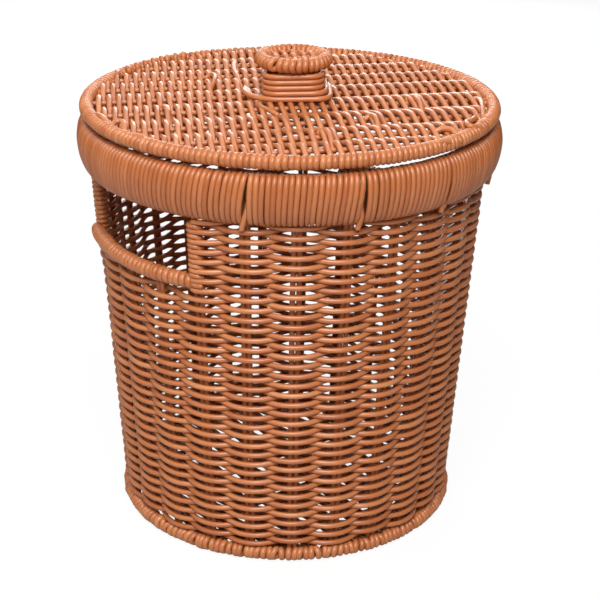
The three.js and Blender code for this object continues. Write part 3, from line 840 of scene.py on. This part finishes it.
def disc_weave(radius, ribs, pitch, swing, turn, height, rng, splay=0.0, ring=(0, 0, 0, 0)):
    """Passes to and fro across ribs, over one and under the next, turned about the middle by
    turn. Splay spreads the passes towards -Y, as a share at the edge. Ring is a hoop's radius,
    its thickness and a stretch of places: there the far turns go round the hoop. Gives the
    path, its tones and the direction of its width."""
    hoop, thickness, wound_from, wound_to = ring
    passes = math.floor(2 * (radius - CANE / 2) / pitch)
    crossed = [2 * ribs[0] - ribs[1], *ribs, 2 * ribs[-1] - ribs[-2]]
    parts, rolls = [], []
    for number in range(passes):
        place = (number - (passes - 1) / 2) * pitch
        is_last = number == passes - 1
        way = 1 if number % 2 == 0 else -1
        outer = max(abs(place), abs(place + pitch * (-1 if is_last else 1)))
        far, near = pass_reach(outer, 1, radius, splay), pass_reach(outer, -1, radius, splay)
        count = max(8, round((far + near) / PASS_STEP))
        y = np.linspace(-near, far, count)[::way]
        x = place * (1 - splay * y / radius) + drift(y / PASS_WANDER_SPAN, PASS_WANDER, rng)
        settle = ease(np.minimum(far - y, near + y) / PASS_SETTLE)
        over = weave(np.interp(y, crossed, np.arange(len(crossed)) - 1) + number)
        z = swing * (PASS_END_SWING + (1 - PASS_END_SWING) * settle)
        z = z * np.arcsin(PASS_POINTED * over) / math.asin(PASS_POINTED)
        z = z + drift(y / PASS_WAVER_SPAN, PASS_WAVER, rng)
        before, after = (
            sign * way > 0 and wound_from < (place + place + sign * pitch) / 2 < wound_to
            for sign in (-1, 1))
        rolled = [np.zeros(count)]
        if before:
            rolled.append(1 - np.arange(count) / ROLL_POINTS)
        if after:
            rolled.append(1 - np.arange(count)[::-1] / ROLL_POINTS)
        parts.append(np.stack([x, y, z], -1))
        rolls.append(np.max(rolled, 0))
        if is_last:
            break
        between = (place + (place + pitch)) / 2
        if after:
            points = turn_round_hoop(between, pitch, hoop, thickness, 1 if over[-1] > 0 else -1)
            points[:, 0] *= 1 - splay * points[:, 1] / radius
        else:
            last = far if way > 0 else -near
            points = turn_inside(between, pitch, last, way)
            points[:, 0] *= 1 - splay * last / radius
        parts.append(points)
        rolls.append(np.full(len(points), float(after)))
    path = np.vstack(parts)
    roll = np.concatenate(rolls)[:, None] * np.pi / 2
    wide = np.cos(roll) * UP + np.sin(roll) * np.array([1.0, 0.0, 0.0])
    spin = plan_turn(turn)
    return path @ spin + [0, 0, height], tones_along(len(path) + 2, 70, rng), wide @ spin


def rib_path(place, radius, turn, height, count=40):
    """A straight rib across a round panel: the chord at its place."""
    half = math.sqrt(max(radius ** 2 - place ** 2, 0))
    x = np.linspace(-half, half, count)
    c, s = math.cos(turn), math.sin(turn)
    return np.stack([x * c - place * s, x * s + place * c, np.full(count, height)], -1)


def build_lid():
    """The wound ring, the weave with its ribs, and the loose ends that stick out of it."""
    rng = np.random.default_rng(60)
    wound_ring("lid_ring_wraps", "lid_ring", "lid", rng, cane=5.5 * MM, pitch=5.9 * MM,
               slant=-1.4 * MM, uneven=LID_RING_UNEVEN)
    centre, hoop, thickness, room = ring_sizes("lid_ring")
    height, inside = centre[2], room + RING_OVERLAP
    path, tone, wide = disc_weave(inside, LID_RIBS, LID_PITCH, LID_SWING, LID_TURN, height, rng,
                                  LID_SPLAY, (hoop, thickness, *LID_WOUND))
    make_piece("lid_weave", [strand(path, wide, LID_CANE, LID_CANE, tone=tone)], "lid",
               ["lid_strand"])
    ribs = [strand(rib_path(place, inside + LID_RIB_MORE, LID_TURN, height), UP, LID_RIB_WIDTH,
                   LID_RIB_DEPTH, tone=LID_TONE + rng.normal(0, RIB_TONE_SPREAD))
            for place in LID_RIBS]
    # Eight ribs stand for the construction's seven, so the fourth piece holds two
    shared = [*([rib] for rib in ribs[:3]), ribs[3:5], *([rib] for rib in ribs[5:])]
    for number, canes in enumerate(shared, 1):
        make_piece(f"lid_rib_cane_{number}", canes, "lid", [f"lid_rib_{number}"])
    ends = []
    for points in LOOSE_ENDS:
        path = np.array(points) * MM @ plan_turn(KNOB_TURN) + [0, 0, height]
        ends.append(cord(path, 6, LID_TONE + rng.normal(0, END_TONE_SPREAD), LOOSE_CANE))
    make_piece("lid_loose_ends", ends, "lid")


def rounded(points, reach):
    """A line resampled finely, each point then the mean of its neighbours within reach."""
    fine = 0.8 * MM
    count = int(np.linalg.norm(np.diff(points, axis=0), axis=1).sum() / fine)
    line = evenly(np.asarray(points, float), count)
    half = max(1, int(reach / fine))
    padded = np.vstack([np.repeat(line[:1], half, 0), line, np.repeat(line[-1:], half, 0)])
    kernel = np.ones(2 * half + 1) / (2 * half + 1)
    mean = np.stack([np.convolve(padded[:, k], kernel, "valid") for k in range(3)], -1)
    return np.vstack([line[:1], mean[half:-half], line[-1:]])


def coil_path(foot):
    """From a loose end on the left along the front, then round the corners of a square, rising
    evenly. On the right the lowest loops lie farther out."""
    start = polar(np.linspace(-np.pi / 2, 0, 10), COIL_END_RADIUS, 0.0)
    start += [-COIL_END_PLACE, COIL_END_RADIUS - COIL_HALF_WIDTH, 0]
    middle = COIL_HALF_WIDTH - COIL_CORNER
    straight = 2 * middle
    arc = np.pi / 2 * COIL_CORNER
    turned = np.linspace(0, 1, 9)
    parts = [start]
    for corner in range(4 * (COIL_ROWS - 1) + 1):
        loops = (corner + (straight + arc * turned) / (straight + arc)) / 4
        points = polar((corner + turned) * np.pi / 2, COIL_CORNER, COIL_PITCH * loops)
        spread = COIL_SPREAD * np.maximum(1 - loops / 2, 0)
        points[:, 0] += middle + spread if corner % 4 < 2 else -middle
        points[:, 1] += -middle if corner % 4 in (0, 3) else middle
        parts.append(points)
    return rounded(np.vstack(parts), COIL_ROUNDING) + [0, 0, foot]


def build_knob():
    """A coil of cane carries a wound ring with a small woven top, and four canes stand inside
    the coil. The knob's own sides are turned a little against the lid's strands."""
    rng = np.random.default_rng(70)
    wound_ring("knob_ring_wraps", "knob_ring", "lid", rng, cane=6.0 * MM, pitch=6.9 * MM,
               slant=-3.0 * MM, gap_at=KNOB_TURN - math.radians(24), gap=2.6 * MM)
    centre, _, _, room = ring_sizes("knob_ring")
    centre, height = centre * [1, 1, 0], centre[2]
    inside = room + KNOB_OVERLAP
    path, tone, _ = disc_weave(inside, KNOB_RIBS, KNOB_PITCH, KNOB_SWING, KNOB_WEAVE_TURN,
                               height, rng)
    make_piece("knob_weave", [strand(path + centre, UP, KNOB_CANE, KNOB_CANE, tone=tone)],
               "lid", ["knob_strand"])
    rib = rib_path(0, inside, KNOB_WEAVE_TURN, height, 12) + centre
    make_piece("knob_rib_cane", [strand(rib, UP, KNOB_RIB_WIDTH, KNOB_RIB_DEPTH)], "lid",
               ["knob_rib_1"])
    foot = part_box("knob_coil")[0].z + CANE / 2
    coil = centre + coil_path(foot) @ plan_turn(KNOB_TURN)
    make_piece("knob_coil_turns", [strand(coil, UP, COIL_CANE, COIL_CANE, sides=12)], "lid",
               ["knob_coil"])
    for number in (1, 2, 3, 4):
        low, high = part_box(f"knob_upright_{number}")
        foot = np.array([(low.x + high.x) / 2, (low.y + high.y) / 2, low.z])
        path = foot + np.linspace(0, high.z - low.z + UPRIGHT_MORE, 12)[:, None] * UP
        make_piece(f"knob_upright_cane_{number}",
                   [strand(path, [1, 0, 0], UPRIGHT_CANE, UPRIGHT_CANE)], "lid",
                   [f"knob_upright_{number}"])


def build_base():
    """The wound base ring, and three canes side by side woven across four ribs."""
    rng = np.random.default_rng(80)
    wound_ring("base_ring_wraps", "base_ring", "hamper", rng, cane=5.5 * MM, pitch=5.7 * MM,
               slant=-1.2 * MM, gap_at=KNOB_TURN + 0.01, gap=2.0 * MM, rough=3.0)
    centre, _, _, room = ring_sizes("base_ring")
    height, inside = centre[2], room + RING_OVERLAP
    path, tone, _ = disc_weave(inside - BASE_EDGE, BASE_RIBS, BASE_PITCH, BASE_SWING, 0.0,
                               height, rng)
    beside = unit(np.cross(unit(np.gradient(path, axis=0)), UP))
    canes = [strand(path + side * BASE_CANE_APART * beside, UP, BASE_CANE_WIDTH,
                    BASE_CANE_DEPTH, tone=tone) for side in (-1, 0, 1)]
    make_piece("base_weave", canes, "hamper", ["base_strand"])
    for number, place in enumerate(BASE_RIBS, 1):
        rib = strand(rib_path(place, inside, 0.0, height), UP, BASE_RIB_WIDTH, BASE_RIB_DEPTH)
        make_piece(f"base_rib_cane_{number}", [rib], "hamper", [f"base_rib_{number}"])


build_wall()
build_band()
build_handles()
build_base()
build_lid()
build_knob()


# Room: a pale floor, soft light from above and a camera at the photograph's angle

CAMERA_AZIMUTH = math.radians(-38.3)
CAMERA_ELEVATION = math.radians(22.45)
CAMERA_DISTANCE = 1.6
CAMERA_TARGET = Vector((0, 0, 0.2))
CAMERA_ROLL = 0.011
CAMERA_LENS = 97.4
CAMERA_SHIFT = (0.0203, -0.0017)

FLOOR_RADIUS = 30.0
FLOOR_DEPTH = 0.0005           # below the hamper, so that they don't share a plane
FLOOR_GLOW = 1.08
FLOOR_GLOW_SHARE = 0.85        # of what the camera sees, the rest being the lit floor
WORLD_LIGHT = 0.01

LAMP_TARGET = Vector((0, 0, 0.25))
LAMP_DISTANCE = 2.3
LAMPS = (                      # degrees right of the camera, degrees up, metres wide, watts
    ("front", 0, 42, 1.2, 39),
    ("front_high", 0, 62, 1.2, 28),
    ("front_left", -60, 30, 1.2, 8.5),
    ("back", 180, 55, 1.4, 12),
    ("back_left", -125, 40, 1.3, 10),
    ("back_right", 125, 40, 1.3, 4),
    ("back_low", 180, 13, 1.2, 26))


def direction(azimuth, elevation):
    """The unit vector away from the hamper at an azimuth from the front and an elevation."""
    return Vector((math.sin(azimuth) * math.cos(elevation),
                   -math.cos(azimuth) * math.cos(elevation), math.sin(elevation)))


def add_camera():
    """A long lens at the photograph's angle, rolled a little about its own axis."""
    back = direction(CAMERA_AZIMUTH, CAMERA_ELEVATION)
    camera = bpy.data.objects.new("camera", bpy.data.cameras.new("camera"))
    bpy.context.scene.collection.objects.link(camera)
    right = Vector((0, 0, 1)).cross(back).normalized()
    above = back.cross(right)
    c, s = math.cos(CAMERA_ROLL), math.sin(CAMERA_ROLL)
    axes = (right * c + above * s, above * c - right * s, back)
    turn = Matrix([[axis[row] for axis in axes] for row in range(3)])
    camera.rotation_mode = "QUATERNION"
    camera.rotation_quaternion = turn.to_quaternion()
    camera.location = CAMERA_TARGET + back * CAMERA_DISTANCE
    camera.data.lens = CAMERA_LENS
    camera.data.shift_x, camera.data.shift_y = CAMERA_SHIFT
    camera.data.clip_end = 100
    bpy.context.scene.camera = camera


def add_floor():
    """A wide pale disc that shows nearly white and keeps a soft shadow."""
    corners = 96
    turn = np.arange(corners) * 2 * np.pi / corners
    points = np.stack([FLOOR_RADIUS * np.cos(turn), FLOOR_RADIUS * np.sin(turn),
                       np.full(corners, -FLOOR_DEPTH)], -1)
    mesh = bpy.data.meshes.new("floor")
    mesh.from_pydata(points.tolist(), [], [list(range(corners))])
    floor = bpy.data.objects.new("floor", mesh)
    bpy.context.scene.collection.objects.link(floor)
    material, tree, shader = new_finish("floor_paint")
    shader.inputs["Base Color"].default_value = (0.5, 0.5, 0.5, 1)
    shader.inputs["Roughness"].default_value = 0.9
    shader.inputs["Specular IOR Level"].default_value = 0.0
    glow = add_node(tree, "ShaderNodeEmission", Strength=FLOOR_GLOW)
    mix = tree.nodes.new("ShaderNodeMixShader")
    rays = tree.nodes.new("ShaderNodeLightPath")
    share = add_math(tree, "MULTIPLY", rays.outputs["Is Camera Ray"], FLOOR_GLOW_SHARE)
    tree.links.new(share, mix.inputs["Fac"])
    tree.links.new(shader.outputs["BSDF"], mix.inputs[1])
    tree.links.new(glow.outputs["Emission"], mix.inputs[2])
    tree.links.new(mix.outputs["Shader"], tree.nodes["Material Output"].inputs["Surface"])
    mesh.materials.append(material)


def add_lamp(name, azimuth, elevation, size, watts):
    """A square soft lamp that faces the hamper."""
    away = direction(CAMERA_AZIMUTH + math.radians(azimuth), math.radians(elevation))
    lamp = bpy.data.objects.new(name, bpy.data.lights.new(name, "AREA"))
    bpy.context.scene.collection.objects.link(lamp)
    lamp.data.shape = "SQUARE"
    lamp.data.size = size
    lamp.data.energy = watts
    lamp.location = LAMP_TARGET + away * LAMP_DISTANCE
    lamp.rotation_mode = "QUATERNION"
    lamp.rotation_quaternion = away.to_track_quat("Z", "Y")


def add_light():
    """A world that is white to the camera and nearly dark to the hamper, and the lamps."""
    world = bpy.data.worlds.new("studio")
    bpy.context.scene.world = world
    world.use_nodes = True
    tree = world.node_tree
    sky = tree.nodes["Background"]
    sky.inputs["Color"].default_value = (1, 1, 1, 1)
    rays = tree.nodes.new("ShaderNodeLightPath")
    level = add_range(tree, rays.outputs["Is Camera Ray"], WORLD_LIGHT, 1.0)
    tree.links.new(level, sky.inputs["Strength"])
    for lamp in LAMPS:
        add_lamp(*lamp)


add_camera()
add_floor()
add_light()
bpy.context.scene.view_settings.view_transform = "Standard"
